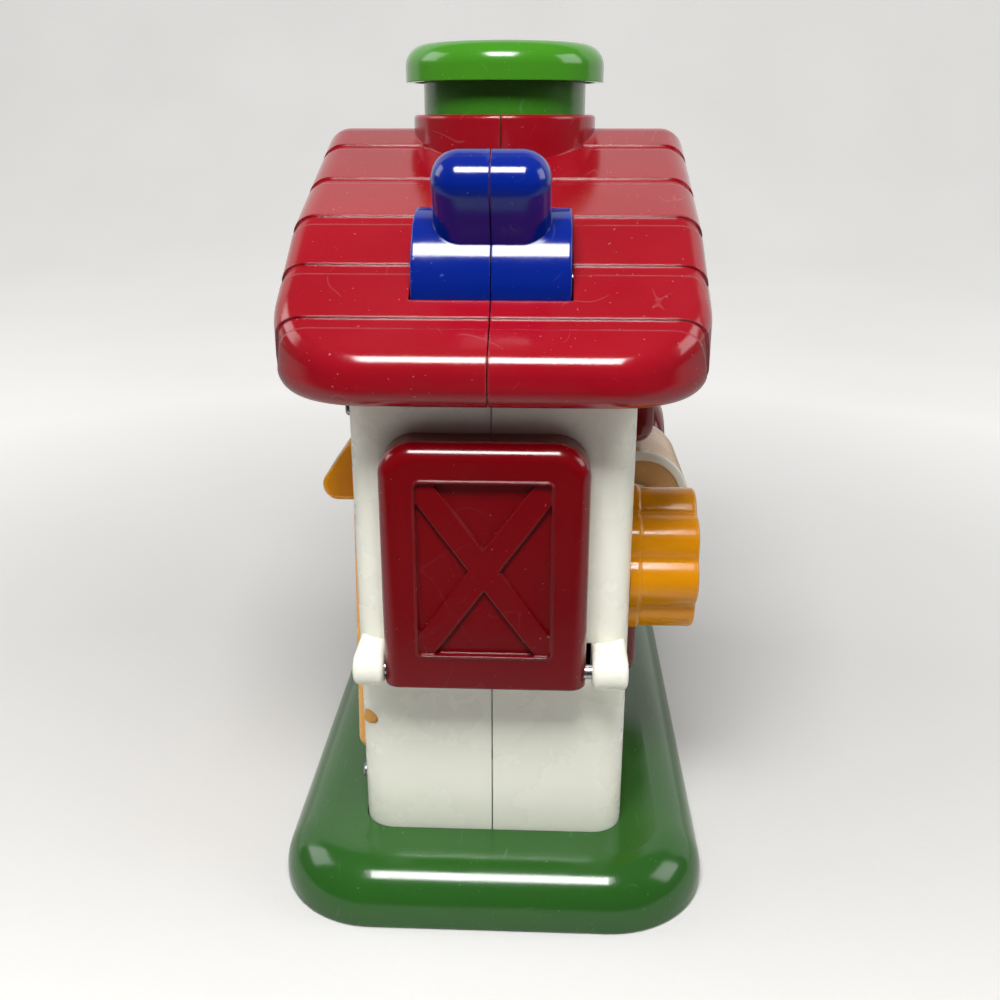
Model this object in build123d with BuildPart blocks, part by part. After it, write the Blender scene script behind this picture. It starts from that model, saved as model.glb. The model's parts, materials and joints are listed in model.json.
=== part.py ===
"""Toy barn with opening doors: a moulded play set on a rounded base.

Frame: +Z up, origin on the floor below the middle of the barn.  The busy front faces +X,
the back faces -X, and the end wall with the stall door faces -Y.  Millimetres.
"""
from build123d import *
import os
from math import atan2, cos, degrees, hypot, pi, radians, sin, sqrt, tan

os.makedirs("parts", exist_ok=True)

# ---------------------------------------------------------------- house
house_width = 84.0            # X, outside the front and back walls
house_length = 193.2          # Y, outside the end walls
wall = 2.6
house_corner_radius = 10.0
seam_gap = 0.3                # open line between the front and back halves
fit_gap = 0.3                 # clearance between moulded pieces that only meet

# ---------------------------------------------------------------- base
base_overhang_side = 26.8
base_overhang_end = 25.9
base_height = 18.8
base_corner_radius = 32.0
base_edge_radius = 15.0
base_skin = 3.0
base_foot_radius = 1.2
plate_lift = 2.0
plate_thickness = 3.0

# ---------------------------------------------------------------- roof
roof_overhang_side = 19.0
roof_overhang_end = 21.4
eave_bottom = 164.6
knee_distance = 66.8          # from the ridge to the change of slope, along Y
knee_height = 210.7
lower_pitch = 32.35           # degrees
upper_pitch = 20.0            # degrees
roof_edge_radius = 8.0
roof_under_radius = 7.0       # along the lower edge of the eaves
roof_corner_radius = 28.0
roof_crease_radius = 14.0
roof_skin = 3.0
course_lower = 21.9           # height of a lower course, along the slope
course_upper = 27.0           # height of an upper course, along the slope
lower_course_lines = 3
upper_course_lines = 2
course_line_width = 4.2
course_line_depth = 0.6

# ---------------------------------------------------------------- plunger button on the ridge
collar_radius = 31.0
collar_rise = 3.5             # from the ridge up to the collar's rim
collar_wall = 2.8
collar_edge_radius = 1.3
sleeve_depth = 30.5           # from the collar's rim down to the sleeve's lower edge
neck_radius = 27.4
neck_wall = 2.5
neck_flange = 2.4             # how far the stop flange stands out below the sleeve
neck_flange_thickness = 2.5
cap_radius = 33.4
cap_height = 11.9
cap_edge_radius = 7.0
cap_skin = 2.8
cap_gap = 10.1                # from the collar's rim to the cap's lower edge
spring_wire = 1.5
spring_mean_radius = 12.0
spring_turns = 5
spring_length = 21.0
spring_post = 6.0
shelf_thickness = 3.0
shelf_length = 72.0

# ---------------------------------------------------------------- rocking lever in the roof slot
drum_radius = 20.0
drum_width = 44.0
drum_depth = 8.4              # from the roof's slope down to the drum's axis
drum_along_slope = 18.2       # from the knee down the slope to the drum's middle
drum_edge_radius = 0.8
slot_gap = 0.5
lever_width = 32.4
lever_thickness = 17.0
lever_reach = 40.0            # from the drum's axis to the tip
lever_lean = 30.0             # degrees from upright, towards the end wall
lever_corner_radius = 8.0
lever_pin_radius = 2.5
lever_ear = 4.0
drum_wall = 3.0

# ---------------------------------------------------------------- drop door on the end wall (the stall door)
pin_radius = 2.2
pin_gap = 0.05
boss_radius = 5.2
boss_edge_radius = 2.0
door_gap = 0.5                # between a closed door and its wall
door_skin = 2.4
brace_width = 7.2
brace_rise = 1.3
panel_depth = 2.1
bead_width = 0.7
bead_rise = 0.35

stall_width = 60.0
stall_height = 75.0           # whole door
stall_thickness = 13.0
stall_shift = -1.6            # the door sits to one side on its pin
stall_pin_height = 81.9
stall_pin_out = 8.4           # from the wall to the pin's axis
stall_below_pin = 3.7
stall_corner_radius = 10.0
stall_edge_radius = 5.0
stall_frame = 10.8            # rim around the sunk panel
stall_boss_left = -31.7       # inner faces of the two bosses
stall_boss_right = 30.3
boss_outer = 41.0
stall_depth = 14.0            # room behind the door
stall_sill = 2.0              # from the hinge bosses up to the opening
stall_lap_top = 6.0           # how far the closed door laps over the wall above its opening
stall_lap_side = 2.5

# ---------------------------------------------------------------- side-hinged doors on the front
hayloft_height = 54.0
hayloft_thickness = 11.0
hayloft_edge_radius = 6.0
hayloft_frame = 9.0
stable_height = 48.0
stable_thickness = 8.0
stable_edge_radius = 4.0
stable_frame = 7.5
roller_to_door = 4.3          # from the roller up to the hayloft door and down to the stable door
side_door_width = 58.0
side_door_corner_radius = 8.0
side_door_lap = 5.0           # how far a closed door laps over the wall round its opening
side_door_depth = 14.0        # room behind the door
side_pin_radius = 1.5
side_pin_out = 4.4            # from the wall to the pin's axis
side_pin_beyond = 4.2         # from the door's edge to its pin's axis
knuckle_radius = 3.3
knuckle_height = 10.0
knuckle_inset = 4.0
side_ear = 3.5

# ---------------------------------------------------------------- knob, wheel and roller on the front
knob_distance = 58.8          # from the barn's middle, along Y
knob_height = 100.8
knob_radius = 24.4
knob_flute = 3.0              # how deep a flute runs between two lobes
knob_flute_radius = 2.5
knob_lobes = 8
knob_phase = 27.0             # degrees
knob_flange = 4.0
knob_step = 0.7               # how far the flange stands out beyond the grip
knob_depth = 22.1             # from the wall to the knob's face
knob_skin = 3.0
knob_edge_radius = 1.4
knob_dish = 1.5
knob_shaft_radius = 6.0
hub_radius = 8.0
front_gap = 0.5               # between the front wall and what turns against it

wheel_radius = 25.0
wheel_depth = 23.5
wheel_edge_radius = 8.0
wheel_dish = 3.0
wheel_grip_radius = 4.0
wheel_grips = 6

click_wheel_radius = 15.0
click_wheel_thickness = 3.5
click_tooth = 1.6
click_teeth = 12
click_spring_thickness = 1.2
click_spring_width = 6.0
shaft_clearance = 6.0         # from the front wall in to a shaft's end

roller_radius = 17.2
roller_length = 42.6
roller_axis_out = 8.4         # from the front wall to the roller's axis
roller_height = 107.5
roller_skin = 2.4
roller_cap = 2.4
roller_cap_width = 3.2        # of the ring, from its rim inwards
roller_cap_edge = 0.9
roller_recess = 1.2           # from the ring's face in to the drum's end wall
axle_radius = 2.0
roller_ear = 3.0
roller_ear_radius = 5.0
roller_side_gap = 0.7
roller_window_gap = 1.0
window_corner = 1.0

# ---------------------------------------------------------------- ramp door and handle on the back
ramp_width = 78.0
ramp_edge = 11.0              # from the end wall to the ramp
ramp_bottom = 39.5
ramp_top = 149.0
ramp_pin_height = 58.0
ramp_pin_in = 3.4             # from the back wall's face in to the pin's axis
ramp_pin_radius = 2.4
ramp_barrel_wall = 1.1
ramp_stub = 8.0               # how far the pin stands out at the side next to the end wall
ramp_far_stub = 3.3           # and at the other side
ramp_block = 4.0              # how far the block round a stub reaches, above, below and along
ramp_back = 2.0               # from the back wall's face in to the ramp's inner face
ramp_proud_bottom = 3.0
ramp_proud_top = 0.5
ramp_toe_radius = 3.6
ramp_gap = 0.6
ramp_corner_radius = 5.0
bay_depth = 7.0
trough_depth = 23.0
trough_top = 70.0
handle_width = 24.0
handle_reach = 15.8           # from the back wall's face
handle_bottom = 118.1
handle_top = 146.5
handle_nose_radius = 5.2
handle_edge_radius = 2.2

# ---------------------------------------------------------------- liners and screws
opening_corner = 4.0
lug_slot = 4.0                # width of the slots in the end wall beside the stall door's pin
panel_corner = 1.2
rail_size = 2.0
rail_length = 6.0
liner_skin = 1.6
liner_flange = 2.5
screw_radius = 1.5
screw_hole_gap = 0.2
screw_boss_radius = 4.3
screw_head_radius = 2.3
screw_head_height = 1.4
body_screw_bite = 14.0
body_screw_inset = 12.0       # from the end walls
body_screw_drop = 7.6         # of the upper screws below the eaves
body_screw_rise = 13.5        # of the lower screws above the base
shelf_screw_distance = 40.0   # from the barn's middle, along Y
shelf_screw_drop = 10.0       # below the spring shelf
plate_screw_length = 13.0
plate_screw_head_radius = 3.0

# ================================================================ worked-out places
half_width = house_width / 2
half_length = house_length / 2
inner_width = half_width - wall
inner_length = half_length - wall
base_half_width = half_width + base_overhang_side
base_half_length = half_length + base_overhang_end
plate_top = plate_lift + plate_thickness
roof_half_width = half_width + roof_overhang_side
roof_half_length = half_length + roof_overhang_end
lower_slope = radians(lower_pitch)
upper_slope = radians(upper_pitch)


def roof_height(y, depth=0.0):
    """Height of the surface that lies depth below the roof's top, measured square to the slope."""
    lower = knee_height - (abs(y) - knee_distance) * tan(lower_slope) - depth / cos(lower_slope)
    upper = knee_height - (abs(y) - knee_distance) * tan(upper_slope) - depth / cos(upper_slope)
    return min(lower, upper)


def roof_knee(depth=0.0):
    """Distance from the ridge to the knee of the surface that lies depth below the roof's top."""
    rise = 1 / cos(lower_slope) - 1 / cos(upper_slope)
    return knee_distance - depth * rise / (tan(lower_slope) - tan(upper_slope))


def gambrel(reach, depth, floor):
    """Side outline, in Y and Z, of all that lies below the roof surface at this depth."""
    knee = roof_knee(depth)
    half = [(reach, floor), (reach, roof_height(reach, depth)), (knee, roof_height(knee, depth))]
    mirrored = [(-y, z) for y, z in reversed(half)]
    return half + [(0, roof_height(0, depth))] + mirrored


slab_thickness = (roof_height(half_length) - eave_bottom) * cos(lower_slope)
slope_down = (0, -cos(lower_slope), -sin(lower_slope))
slope_out = (0, -sin(lower_slope), cos(lower_slope))
upper_down = (0, -cos(upper_slope), -sin(upper_slope))
upper_out = (0, -sin(upper_slope), cos(upper_slope))
drum_y = -knee_distance + drum_along_slope * slope_down[1] - drum_depth * slope_out[1]
drum_z = knee_height + drum_along_slope * slope_down[2] - drum_depth * slope_out[2]

collar_rim_height = roof_height(0) + collar_rise
cap_bottom = collar_rim_height + cap_gap
sleeve_bottom = collar_rim_height - sleeve_depth
neck_bottom = sleeve_bottom - fit_gap - neck_flange_thickness
shelf_top = neck_bottom - spring_length
bore_radius = collar_radius - collar_wall

body_screw_y = half_length - body_screw_inset
body_screw_high = eave_bottom - body_screw_drop
body_screw_low = base_height + body_screw_rise
shelf_screw_height = shelf_top - shelf_thickness - shelf_screw_drop
body_screws_at = [
    (-body_screw_y, body_screw_high), (body_screw_y, body_screw_high),
    (-body_screw_y, body_screw_low), (body_screw_y, body_screw_low),
    (shelf_screw_distance, shelf_screw_height), (-shelf_screw_distance, shelf_screw_height),
]
house_screw_x = inner_width - screw_boss_radius + 0.4
house_screw_y = inner_length - screw_boss_radius + 0.4
base_screw_x = base_half_width - base_edge_radius + 1
base_screw_y = base_half_length * 0.6

stall_pin_y = -half_length - stall_pin_out
hayloft_bottom = roller_height + roller_radius + roller_to_door
hayloft_top = hayloft_bottom + hayloft_height
stable_top = roller_height - roller_radius - roller_to_door
stable_bottom = stable_top - stable_height
side_pin_x = half_width + side_pin_out
side_pin_y = side_door_width / 2 + side_pin_beyond
side_opening_width = side_door_width - 2 * side_door_lap
axle_reach = roller_length / 2 + roller_side_gap + roller_ear
shaft_end = inner_width - shaft_clearance

on_end_wall = Location((0, -half_length, 0))
on_front_wall = Location((half_width, 0, 0), (0, 0, 90))
on_back_wall = Location((-half_width, 0, 0), (0, 0, -90))


def ramp_face_x(z):
    """Where the ramp's sloping outer face lies at this height."""
    rise = (z - ramp_bottom) / (ramp_top - ramp_bottom)
    return -half_width - ramp_proud_bottom + rise * (ramp_proud_bottom - ramp_proud_top)


def bay_profile(low, high, skin):
    """Side outline of the shallow bay behind the ramp, with its deeper trough below."""
    back = -inner_width + bay_depth - liner_skin + skin
    trough_back = -inner_width + trough_depth - liner_skin + skin
    return [(-inner_width, low), (trough_back, low), (trough_back, trough_top + skin),
            (back, trough_top + skin), (back, high), (-inner_width, high)]


def tilted(origin, normal):
    """A plane square to a direction in the Y-Z plane."""
    return Plane(origin=origin, x_dir=(1, 0, 0), z_dir=normal)


def roof_block(inset):
    """The roof's outer form, drawn in by inset all round its top and sides."""
    reach = roof_half_length - inset
    with BuildPart() as block:
        with BuildSketch(Plane.YZ):
            Polygon(*gambrel(reach, inset, eave_bottom), align=None)
        extrude(amount=roof_half_width - inset, both=True)
        slopes = [abs((e @ 0.5).Y) < knee_distance + 1 and (e @ 0.5).Z > knee_height - 2 for e in
                  block.edges().filter_by(Axis.X)]
        creases = [e for e, high in zip(block.edges().filter_by(Axis.X), slopes) if high]
        fillet(creases, roof_crease_radius)
        with BuildSketch(Plane.XY.offset(eave_bottom)):
            RectangleRounded(2 * (roof_half_width - inset), 2 * reach, roof_corner_radius - inset)
        extrude(amount=knee_height, mode=Mode.INTERSECT)
        sides = block.faces().filter_by(lambda f: abs(f.normal_at().Z) < 0.1)
        tops = block.faces().filter_by(lambda f: f.normal_at().Z > 0.3)
        side_edges = sides.edges()
        rim = [e for e in tops.edges() if e in side_edges]
        fillet(rim, roof_edge_radius - inset)
        fillet(block.faces().sort_by(Axis.Z)[0].edges(), roof_under_radius - inset)
    return block.part


def course_lines():
    """Thin slabs across the slopes, where one course of the roof laps the next."""
    knee = (0, -knee_distance, knee_height)
    lower = [(number * course_lower, slope_down) for number in range(lower_course_lines)]
    upper = [(-(number + 1) * course_upper, upper_down) for number in range(upper_course_lines)]
    with BuildPart() as lines:
        for step, down in lower + upper:
            origin = tuple(k + step * d for k, d in zip(knee, down))
            with BuildSketch(tilted(origin, down)):
                Rectangle(3 * roof_half_width, 2 * slab_thickness)
            extrude(amount=course_line_width)
        mirror(about=Plane.XZ)
    return lines.part


# ================================================================ shared shapes
def box_between(low, high):
    """A plain block from one corner to the opposite one."""
    size = [b - a for a, b in zip(low, high)]
    with BuildPart() as block:
        with Locations(low):
            Box(*size, align=(Align.MIN, Align.MIN, Align.MIN))
    return block.part


def rod(start, axis, radius, length):
    """A round bar from start along axis."""
    with BuildPart() as bar:
        with BuildSketch(Plane(origin=start, z_dir=axis)):
            Circle(radius)
        extrude(amount=length)
    return bar.part


def pin_hole(start, axis, radius, length):
    """The hole that a turning pin of this radius runs in."""
    return rod(start, axis, radius + pin_gap, length)


def screw(head_at, axis, radius, length, head_radius, head_height):
    """A pan-head screw whose shank runs along axis from the underside of its head."""
    with BuildPart() as fastener:
        with BuildSketch(Plane(origin=head_at, z_dir=axis)):
            Circle(radius)
        extrude(amount=length)
        with BuildSketch(Plane(origin=head_at, z_dir=axis)):
            Circle(head_radius)
        extrude(amount=-head_height)
        crown = fastener.faces().filter_by(GeomType.PLANE).sort_by(SortBy.AREA)[-2:]
        chamfer(crown.sort_by(lambda f: (f.center() - Vector(*head_at)).length)[-1].edges(), head_height / 3)
    return fastener.part


def rounded_block(length_x, length_y, corner, height, edge):
    """A block on the floor, rounded in plan and rounded over along its upper edge."""
    with BuildPart() as block:
        with BuildSketch():
            RectangleRounded(length_x, length_y, corner)
        extrude(amount=height)
        fillet(block.faces().sort_by(Axis.Z)[-1].edges(), edge)
    return block.part


def gambrel_prism(reach, depth, floor, half_x):
    """All that lies below the roof surface at this depth, as a prism along X."""
    with BuildPart() as prism:
        with BuildSketch(Plane.YZ):
            Polygon(*gambrel(reach, depth, floor), align=None)
        extrude(amount=half_x, both=True)
    return prism.part


def door_blank(width, low, high, thickness, corner, edge):
    """A door leaf against a wall that faces -Y, with rounded corners and front edge."""
    with BuildPart() as blank:
        with BuildSketch(Plane.XZ.offset(door_gap)):
            with Locations((0, (low + high) / 2)):
                RectangleRounded(width, high - low, corner)
        extrude(amount=thickness)
        fillet(blank.faces().sort_by(Axis.Y)[0].edges(), edge)
    return blank.part


def panel_pocket(front, width, low, high):
    """The sunk panel to cut from a door's front face, with an X brace left standing in it."""
    height = high - low
    brace_angle = degrees(atan2(height, width))
    with BuildPart() as pocket:
        with BuildSketch(Plane.XZ.offset(front - panel_depth)):
            with Locations((0, (low + high) / 2)):
                RectangleRounded(width, height, panel_corner)
        extrude(amount=panel_depth)
        with BuildSketch(Plane.XZ.offset(front - panel_depth)):
            with Locations(Location((0, (low + high) / 2), brace_angle), Location((0, (low + high) / 2), -brace_angle)):
                Rectangle(2 * hypot(width, height), brace_width)
        extrude(amount=brace_rise, mode=Mode.SUBTRACT)
    return pocket.part


def panel_bead(front, width, low, high):
    """The fine raised line round a sunk panel."""
    with BuildPart() as bead:
        with BuildSketch(Plane.XZ.offset(front)):
            with Locations((0, (low + high) / 2)):
                RectangleRounded(width + 2 * bead_width, high - low + 2 * bead_width, panel_corner + bead_width)
                RectangleRounded(width, high - low, panel_corner, mode=Mode.SUBTRACT)
        extrude(amount=bead_rise)
    return bead.part


def door_hollow(width, low, high, depth, corner):
    """The hollow in the back of a door leaf."""
    with BuildPart() as hollow:
        with BuildSketch(Plane.XZ.offset(door_gap)):
            with Locations((0, (low + high) / 2)):
                RectangleRounded(width, high - low, corner)
        extrude(amount=depth)
    return hollow.part


def drop_door(width, height, thickness, below_pin, pin_out, corner, edge, frame):
    """A door that drops open on a pin near its lower edge.

    It is made against a wall in the X-Z plane that faces -Y, its pin's axis level with the origin.
    """
    front = door_gap + thickness
    top = height - below_pin
    heel = box_between((-width, -pin_out, -2 * below_pin), (width, 0, 0))
    heel -= rod((-width, -pin_out, 0), (1, 0, 0), pin_out - door_gap, 2 * width)
    hollow_depth = thickness - panel_depth - door_skin
    hollow_corner = max(corner - door_skin, 1)
    with BuildPart() as door:
        add(door_blank(width, -height, top, thickness, corner, edge))
        add(box_between((-width, -2 * front, -2 * height), (width, front, -below_pin)), mode=Mode.SUBTRACT)
        add(heel, mode=Mode.SUBTRACT)
        add(panel_pocket(front, width - 2 * frame, frame - below_pin, top - frame), mode=Mode.SUBTRACT)
        add(panel_bead(front, width - 2 * frame, frame - below_pin, top - frame))
        add(door_hollow(width - 2 * door_skin, boss_radius, top - door_skin, hollow_depth, hollow_corner),
            mode=Mode.SUBTRACT)
        add(pin_hole((-width, -pin_out, 0), (1, 0, 0), pin_radius, 2 * width), mode=Mode.SUBTRACT)
    return door.part


def hinge_boss(inner, outer, pin_out):
    """A round-nosed boss on a wall that faces -Y, round the end of a door's pin."""
    with BuildPart() as boss:
        with BuildSketch(Plane.YZ.offset(inner)):
            with Locations((-pin_out, 0)):
                Circle(boss_radius)
            with Locations((house_corner_radius / 2, 0)):
                Rectangle(house_corner_radius, 2 * boss_radius)
            make_hull()
        extrude(amount=outer - inner)
        outline = boss.edges().filter_by(Axis.X, reverse=True)
        fillet(outline.filter_by(lambda e: (e @ 0.5).Y < wall), boss_edge_radius)
    return boss.part


def side_door(low, high, thickness, edge, frame):
    """A door on the front wall, hinged at its +Y side, between two heights."""
    front = door_gap + thickness
    panel = (side_door_width - 2 * frame, low + frame, high - frame)
    hollow = (side_door_width - 2 * door_skin, low + door_skin, high - door_skin)
    with BuildPart() as door:
        add(on_front_wall * door_blank(side_door_width, low, high, thickness, side_door_corner_radius, edge))
        add(on_front_wall * panel_pocket(front, *panel), mode=Mode.SUBTRACT)
        add(on_front_wall * panel_bead(front, *panel))
        add(on_front_wall * door_hollow(*hollow, thickness - panel_depth - door_skin,
                                        side_door_corner_radius - door_skin), mode=Mode.SUBTRACT)
        for foot in (low + knuckle_inset, high - knuckle_inset - knuckle_height):
            with BuildSketch(Plane.XY.offset(foot)):
                with Locations((side_pin_x, side_pin_y)):
                    Circle(knuckle_radius)
                with Locations((side_pin_x, side_door_width / 2 - door_skin / 2)):
                    Rectangle(2 * knuckle_radius, door_skin)
                make_hull()
            extrude(amount=knuckle_height)
        add(pin_hole((side_pin_x, side_pin_y, low), (0, 0, 1), side_pin_radius, high - low), mode=Mode.SUBTRACT)
    return door.part


def side_pin(low, high):
    """The pin of a side-hinged door."""
    return rod((side_pin_x, side_pin_y, low), (0, 0, 1), side_pin_radius, high - low)


def side_opening(low, high):
    """The opening in the front wall behind a side-hinged door."""
    return on_front_wall * doorway(side_opening_width, low + side_door_lap, high - side_door_lap, opening_corner)


def side_liner(low, high):
    """The liner behind a side-hinged door's opening."""
    return on_front_wall * liner(side_opening_width, low + side_door_lap, high - side_door_lap,
                                 side_door_depth, opening_corner)


def liner(width, low, high, depth, corner):
    """An open-fronted box that stands behind an opening in a wall that faces -Y."""
    with BuildPart() as box:
        with BuildSketch(Plane.XZ.offset(-wall)):
            with Locations((0, (low + high) / 2)):
                RectangleRounded(width + 2 * liner_skin, high - low + 2 * liner_skin, corner + liner_skin)
        extrude(amount=-depth)
        with BuildSketch(Plane.XZ.offset(-wall)):
            with Locations((0, (low + high) / 2)):
                RectangleRounded(width, high - low, corner)
        extrude(amount=liner_skin - depth, mode=Mode.SUBTRACT)
        with BuildSketch(Plane.XZ.offset(-wall)):
            with Locations((0, (low + high) / 2)):
                RectangleRounded(width + 2 * liner_flange, high - low + 2 * liner_flange, corner + liner_flange)
                RectangleRounded(width, high - low, corner, mode=Mode.SUBTRACT)
        extrude(amount=-liner_skin)
    return box.part


def doorway(width, low, high, corner):
    """The opening cut through a wall that faces -Y."""
    with BuildPart() as opening:
        with BuildSketch(Plane.XZ):
            with Locations((0, (low + high) / 2)):
                RectangleRounded(width, high - low, corner)
        extrude(amount=wall, both=True)
    return opening.part


# ================================================================ base
with BuildPart() as base:
    add(rounded_block(2 * base_half_width, 2 * base_half_length, base_corner_radius, base_height,
                      base_edge_radius))
    fillet(base.faces().sort_by(Axis.Z)[0].edges(), base_foot_radius)
    add(rounded_block(2 * (base_half_width - base_skin), 2 * (base_half_length - base_skin),
                      base_corner_radius - base_skin, base_height - base_skin, base_edge_radius - base_skin),
        mode=Mode.SUBTRACT)
    well_x = house_width + 2 * fit_gap
    well_y = house_length + 2 * fit_gap
    with BuildSketch(Plane.XY.offset(plate_top)):
        RectangleRounded(well_x + 2 * base_skin, well_y + 2 * base_skin, house_corner_radius + base_skin)
    extrude(amount=base_height - plate_top - base_skin / 2)
    with BuildSketch(Plane.XY.offset(plate_top)):
        with GridLocations(2 * base_screw_x, 2 * base_screw_y, 2, 2):
            Circle(screw_boss_radius)
    extrude(until=Until.NEXT)
    with BuildSketch():
        RectangleRounded(well_x, well_y, house_corner_radius + fit_gap)
    extrude(amount=2 * base_height, mode=Mode.SUBTRACT)
    with BuildSketch(Plane.XY.offset(plate_top)):
        with GridLocations(2 * base_screw_x, 2 * base_screw_y, 2, 2):
            Circle(screw_radius)
    extrude(amount=plate_screw_length - plate_thickness, mode=Mode.SUBTRACT)
base.part.label = "base"
export_step(base.part, "parts/base.step")

with BuildPart() as base_plate:
    with BuildSketch(Plane.XY.offset(plate_lift)):
        plate_inset = base_skin + fit_gap
        RectangleRounded(2 * (base_half_width - plate_inset), 2 * (base_half_length - plate_inset),
                         base_corner_radius - plate_inset)
        with GridLocations(2 * base_screw_x, 2 * base_screw_y, 2, 2):
            Circle(screw_radius + screw_hole_gap, mode=Mode.SUBTRACT)
        with GridLocations(2 * house_screw_x, 2 * house_screw_y, 2, 2):
            Circle(screw_radius + screw_hole_gap, mode=Mode.SUBTRACT)
    extrude(amount=plate_thickness)
base_plate.part.label = "base_plate"
export_step(base_plate.part, "parts/base_plate.step")

with BuildPart() as base_screws:
    for x_side in (-1, 1):
        for y_side in (-1, 1):
            for x, y in ((base_screw_x, base_screw_y), (house_screw_x, house_screw_y)):
                add(screw((x_side * x, y_side * y, plate_lift), (0, 0, 1), screw_radius, plate_screw_length,
                          plate_screw_head_radius, screw_head_height))
base_screws.part.label = "base_screws"
export_step(base_screws.part, "parts/base_screws.step")

# ================================================================ house walls
stall_opening_low = stall_pin_height + boss_radius + stall_sill
stall_opening_high = stall_pin_height - stall_below_pin + stall_height - stall_lap_top
stall_opening_width = stall_width - 2 * stall_lap_side
ramp_near = -half_length + ramp_edge
ramp_far = ramp_near + ramp_width
ramp_middle = (ramp_near + ramp_far) / 2
ramp_block_end = ramp_far + ramp_gap + ramp_block
ramp_pin_x = -half_width + ramp_pin_in
roller_window_y = roller_length / 2 + roller_window_gap / 2
roller_window_z = sqrt((roller_radius + roller_window_gap) ** 2 - roller_axis_out ** 2)
roller_x = half_width + roller_axis_out

walls_outside = gambrel_prism(half_length, slab_thickness, plate_top, half_width)
walls_inside = gambrel_prism(inner_length, 0, -base_height, inner_width)

with BuildPart() as house_form:
    add(walls_outside)
    fillet(house_form.edges().filter_by(Axis.Z), house_corner_radius)

with BuildPart() as house_cavity:
    add(walls_inside)
    fillet(house_cavity.edges().filter_by(Axis.Z), house_corner_radius - wall)

with BuildPart() as walls:
    add(house_form.part)
    # hinge bosses of the stall door
    for inner, outer in ((stall_boss_right, boss_outer), (-boss_outer, stall_boss_left)):
        add(on_end_wall * Pos(0, 0, stall_pin_height) * hinge_boss(inner, outer, stall_pin_out))
    add(house_cavity.part, mode=Mode.SUBTRACT)
    # ears of the two side-hinged doors' pins
    for low in (hayloft_bottom, hayloft_top - side_ear, stable_bottom, stable_top - side_ear):
        with BuildSketch(Plane.XY.offset(low)):
            with Locations((side_pin_x, side_pin_y)):
                Circle(knuckle_radius)
            with Locations((half_width - wall / 2, side_pin_y)):
                Rectangle(wall, 2 * knuckle_radius)
            make_hull()
        extrude(amount=side_ear)
    # ears of the roller's axle
    for low in (roller_length / 2 + roller_side_gap, -roller_length / 2 - roller_side_gap - roller_ear):
        with BuildSketch(Plane.XZ.offset(-low - roller_ear)):
            with Locations((roller_x, roller_height)):
                Circle(roller_ear_radius)
            with Locations((half_width - wall / 2, roller_height)):
                Rectangle(wall, 3 * roller_ear_radius)
            make_hull()
        extrude(amount=roller_ear)
    # tubes for the screws that hold the two halves together, and for those of the base plate
    for y, z in body_screws_at:
        add(rod((-inner_width - wall / 2, y, z), (1, 0, 0), screw_boss_radius, house_width - wall))
    with BuildSketch(Plane.XY.offset(plate_top)):
        with GridLocations(2 * house_screw_x, 2 * house_screw_y, 2, 2):
            Circle(screw_boss_radius)
    extrude(amount=plate_screw_length)
    # rails that carry the spring shelf
    with BuildSketch(Plane.XY.offset(shelf_top - shelf_thickness - rail_size)):
        with GridLocations(2 * inner_width - rail_size, shelf_length - rail_length, 2, 2):
            Rectangle(rail_size + 0.2, rail_length)
    extrude(amount=rail_size)
    # blocks round the ends of the ramp's pins
    for near, far in ((-half_length + wall / 2, ramp_near - ramp_gap), (ramp_far + ramp_gap, ramp_block_end)):
        low = (-inner_width - wall / 2, near, ramp_pin_height - ramp_block)
        high = (ramp_pin_x + ramp_pin_radius + ramp_pin_in, far, ramp_pin_height + ramp_block)
        add(box_between(low, high) & house_form.part)
    # openings behind the doors, the roller's window and the slots beside the stall door's pin
    add(on_end_wall * Pos(stall_shift, 0, 0)
        * doorway(stall_opening_width, stall_opening_low, stall_opening_high, opening_corner), mode=Mode.SUBTRACT)
    for left, right in ((stall_boss_right - lug_slot, stall_boss_right),
                        (stall_boss_left, stall_boss_left + lug_slot)):
        low = (left, -half_length - wall, stall_pin_height - boss_radius)
        high = (right, -inner_length + wall, stall_pin_height + boss_radius)
        add(box_between(low, high), mode=Mode.SUBTRACT)
    add(side_opening(stable_bottom, stable_top), mode=Mode.SUBTRACT)
    add(side_opening(hayloft_bottom, hayloft_top), mode=Mode.SUBTRACT)
    add(on_front_wall * doorway(2 * roller_window_y, roller_height - roller_window_z,
                                roller_height + roller_window_z, window_corner), mode=Mode.SUBTRACT)
    add(on_back_wall * Pos(-ramp_middle, 0, 0)
        * doorway(ramp_width + 2 * ramp_gap, ramp_bottom - ramp_gap, ramp_top + ramp_gap, ramp_corner_radius),
        mode=Mode.SUBTRACT)
    # holes for the pins, the axle and the two shafts
    add(rod((1 - boss_outer, stall_pin_y, stall_pin_height), (1, 0, 0), pin_radius, 2 * (boss_outer - 1)),
        mode=Mode.SUBTRACT)
    add(side_pin(stable_bottom, stable_top), mode=Mode.SUBTRACT)
    add(side_pin(hayloft_bottom, hayloft_top), mode=Mode.SUBTRACT)
    add(rod((roller_x, -axle_reach, roller_height), (0, 1, 0), axle_radius, 2 * axle_reach), mode=Mode.SUBTRACT)
    for side in (-1, 1):
        add(pin_hole((0, side * knob_distance, knob_height), (1, 0, 0), knob_shaft_radius, house_width),
            mode=Mode.SUBTRACT)
    add(pin_hole((ramp_pin_x, -half_length - wall, ramp_pin_height), (0, 1, 0), ramp_pin_radius,
                 ramp_block_end - 1 + half_length + wall), mode=Mode.SUBTRACT)
    with BuildSketch(Plane.XY.offset(plate_top)):
        with GridLocations(2 * house_screw_x, 2 * house_screw_y, 2, 2):
            Circle(screw_radius)
    extrude(amount=plate_screw_length - plate_thickness, mode=Mode.SUBTRACT)

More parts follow.
